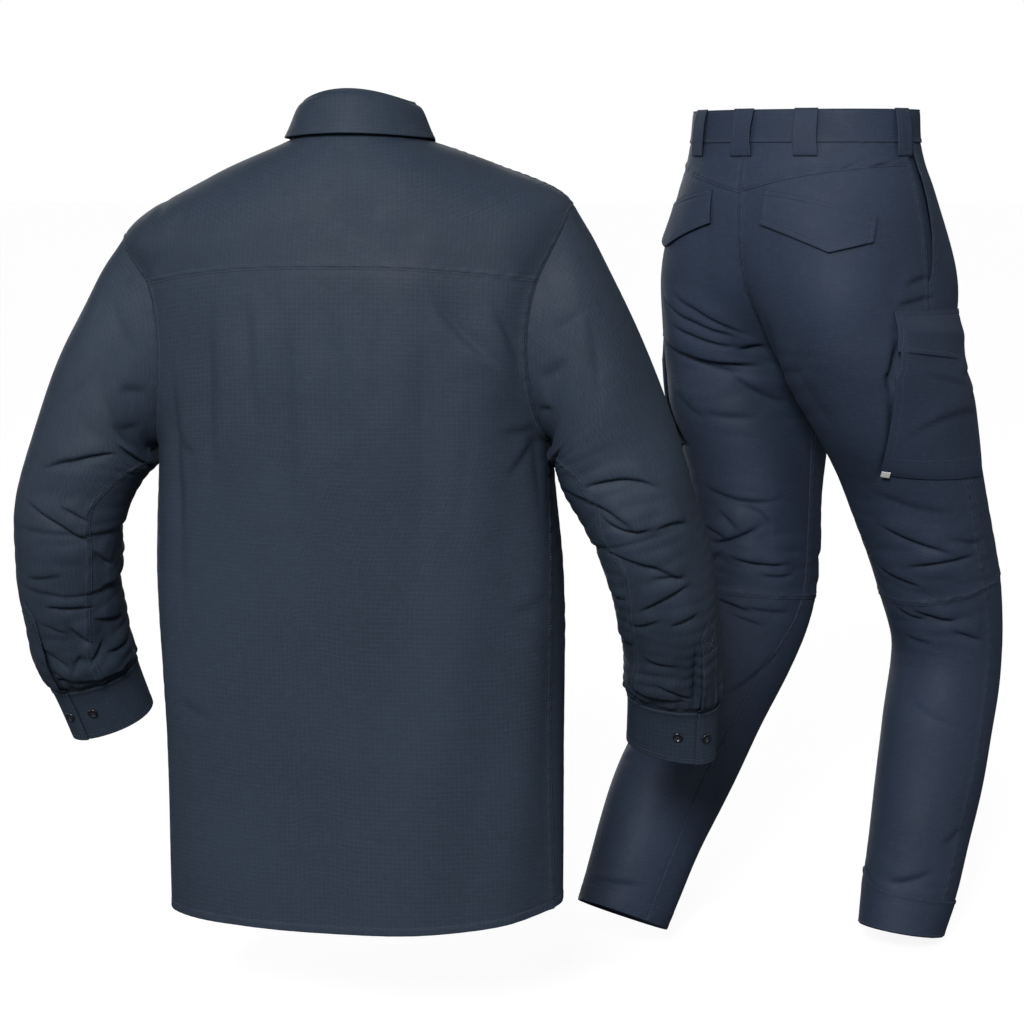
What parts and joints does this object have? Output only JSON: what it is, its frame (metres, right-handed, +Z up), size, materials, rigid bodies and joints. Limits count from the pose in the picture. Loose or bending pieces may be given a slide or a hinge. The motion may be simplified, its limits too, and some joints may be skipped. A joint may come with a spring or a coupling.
{
  "type": "work uniform",
  "caption": "Long-sleeved work shirt with back yoke and buttoned cuffs, and cargo trousers with flap pockets and belt loops, both filled out as worn, side by side.",
  "frame": {"origin": "middle of the shirt's neck opening, between the shoulders", "axes": "+Z up; +X to the right of someone standing behind the shirt, across both garments; +Y the way the shirt faces. The shirt is turned 9 degrees and the trousers 46 degrees about Z."},
  "size_m": [1.1614, 0.6982, 1.0282],
  "materials": {
    "shirt_cloth": "fine navy-grey ripstop with a slight sheen",
    "trouser_cloth": "fine navy-grey ripstop with a slight sheen",
    "button_plastic": "dark glossy four-hole buttons",
    "label_white": "plain white woven tag"
  },
  "bodies": {
    "root": {"back_flap_left": "trouser_cloth", "back_flap_right": "trouser_cloth", "back_leg_left": "trouser_cloth", "back_leg_right": "trouser_cloth", "back_shin_left": "trouser_cloth", "back_shin_right": "trouser_cloth", "belt_loop_1": "trouser_cloth", "belt_loop_2": "trouser_cloth", "belt_loop_3": "trouser_cloth", "belt_loop_4": "trouser_cloth", "belt_loop_5": "trouser_cloth", "belt_loop_6": "trouser_cloth", "belt_loop_7": "trouser_cloth", "cargo_flap_left": "trouser_cloth", "cargo_flap_right": "trouser_cloth", "cargo_pocket_left": "trouser_cloth", "cargo_pocket_right": "trouser_cloth", "collar_leaf": "shirt_cloth", "collar_stand": "shirt_cloth", "cuff_button_left_1": "button_plastic", "cuff_button_left_2": "button_plastic", "cuff_button_right_1": "button_plastic", "cuff_button_right_2": "button_plastic", "cuff_left": "shirt_cloth", "cuff_right": "shirt_cloth", "fly": "trouser_cloth", "front_button_1": "button_plastic", "front_button_2": "button_plastic", "front_button_3": "button_plastic", "front_button_4": "button_plastic", "front_button_5": "button_plastic", "front_button_6": "button_plastic", "front_button_7": "button_plastic", "front_button_8": "button_plastic", "front_leg_left": "trouser_cloth", "front_leg_right": "trouser_cloth", "front_shin_left": "trouser_cloth", "front_shin_right": "trouser_cloth", "hem_band_right": "trouser_cloth", "label_tag": "label_white", "pocket_facing_left": "trouser_cloth", "pocket_facing_right": "trouser_cloth", "seat_yoke_left": "trouser_cloth", "seat_yoke_right": "trouser_cloth", "shirt_back": "shirt_cloth", "shirt_front_left": "shirt_cloth", "shirt_front_right": "shirt_cloth", "shirt_placket": "shirt_cloth", "shirt_yoke": "shirt_cloth", "sleeve_left": "shirt_cloth", "sleeve_placket_left": "shirt_cloth", "sleeve_placket_right": "shirt_cloth", "sleeve_right": "shirt_cloth", "waist_button": "button_plastic", "waistband": "trouser_cloth"}
  },
  "joints": []
}
